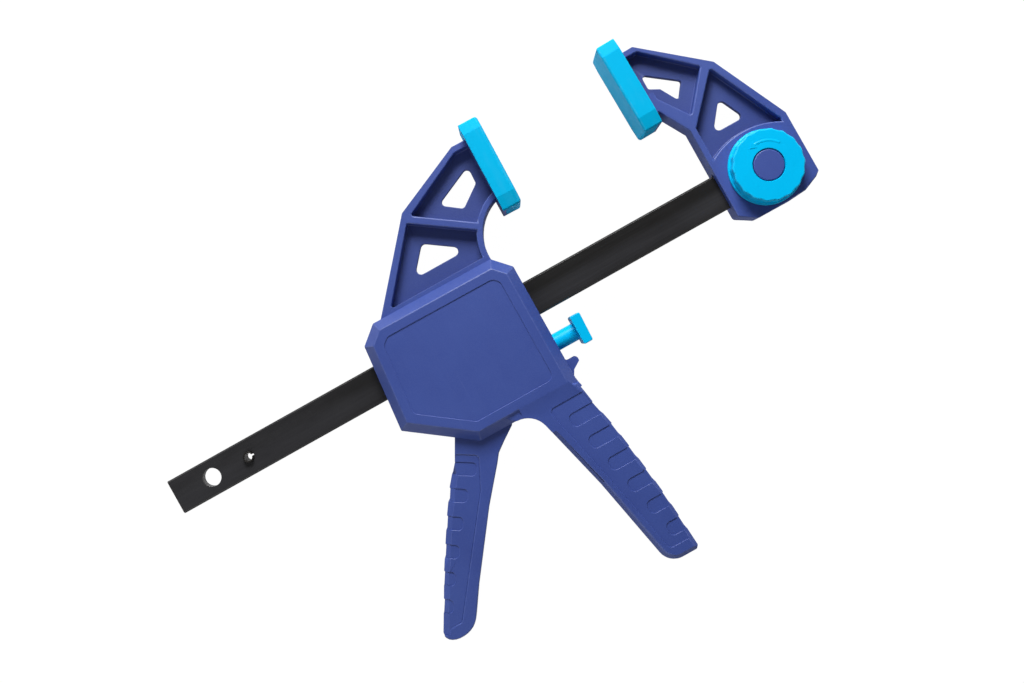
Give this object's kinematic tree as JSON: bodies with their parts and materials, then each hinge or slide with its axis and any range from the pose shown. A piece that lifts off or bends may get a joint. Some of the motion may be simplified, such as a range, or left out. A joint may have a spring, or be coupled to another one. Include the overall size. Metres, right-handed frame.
{
  "type": "quick release bar clamp",
  "caption": "One-handed quick release bar clamp and spreader with pistol grip, squeeze trigger, slip-on pads and a lock knob on its reversible fixed jaw.",
  "frame": {"origin": "centre of the moving pad's clamping face", "axes": "+X along the bar towards the fixed jaw, +Y up the jaws from the bar to their tips, +Z out of the side with the lock knob"},
  "size_m": [0.3958, 0.2637, 0.0354],
  "materials": {
    "navy_nylon": "glass-filled nylon, fine moulded grain, satin",
    "cyan_rubber": "soft moulded rubber, matt",
    "cyan_plastic": "moulded plastic, satin",
    "black_steel": "blackened carbon steel strip, drawn along its length",
    "bright_steel": "ground and oiled",
    "zinc_steel": "zinc plated",
    "spring_steel": "oiled spring steel"
  },
  "bodies": {
    "housing": {"body_front_shell": "navy_nylon", "body_back_shell": "navy_nylon", "body_screws": "zinc_steel", "moving_pad": "cyan_rubber", "trigger_pin": "bright_steel", "brake_pin": "bright_steel", "drive_spring": "spring_steel", "brake_spring": "spring_steel"},
    "trigger": {"trigger": "navy_nylon"},
    "drive_plates": {"drive_plates": "bright_steel"},
    "brake": {"brake_plate": "bright_steel"},
    "button": {"release_button": "cyan_plastic"},
    "bar": {"bar": "black_steel", "stop_pin": "spring_steel", "fixed_jaw": "navy_nylon", "fixed_pad": "cyan_rubber", "knob_cap": "navy_nylon", "lock_spring": "spring_steel"},
    "knob": {"lock_knob": "cyan_plastic"},
    "plunger": {"lock_plunger": "bright_steel", "cam_pins": "bright_steel"}
  },
  "joints": [
    {"name": "trigger_pull", "type": "hinge", "parent": "housing", "child": "trigger", "pos_m": [-0.074, -0.10715, 0], "axis": [0, 0, 1], "range_deg": [0, 30], "stiffness_Nm_per_rad": 1, "springref_deg": -8.59},
    {"name": "plate_drive", "type": "slide", "parent": "housing", "child": "drive_plates", "axis": [-1, 0, 0], "range_m": [0, 0.009], "deforming": ["drive_spring"]},
    {"name": "button_press", "type": "slide", "parent": "housing", "child": "button", "axis": [-1, 0, 0], "range_m": [0, 0.004], "stiffness_N_per_m": 800, "springref_m": -0.003},
    {"name": "brake_rock", "type": "hinge", "parent": "housing", "child": "brake", "pos_m": [-0.037, -0.05715, 0], "axis": [0, 0, -1], "range_deg": [0, 5.1], "deforming": ["brake_spring"]},
    {"name": "bar_slide", "type": "slide", "parent": "housing", "child": "bar", "axis": [1, 0, 0], "range_m": [-0.0739, 0.0808]},
    {"name": "knob_turn", "type": "hinge", "parent": "bar", "child": "knob", "pos_m": [0.125, -0.07515, 0.012], "axis": [0, 0, 1], "range_deg": [0, 90.2]},
    {"name": "plunger_lift", "type": "slide", "parent": "bar", "child": "plunger", "axis": [0, 0, 1], "range_m": [0, 0.0045], "stiffness_N_per_m": 300, "springref_m": -0.012, "deforming": ["lock_spring"]}
  ],
  "couplings": [
    {"joint": "plate_drive", "follows": "trigger_pull", "m_per_rad": 0.017},
    {"joint": "brake_rock", "follows": "button_press", "rad_per_m": 22.2},
    {"joint": "knob_turn", "follows": "plunger_lift", "rad_per_m": 349.07}
  ]
}
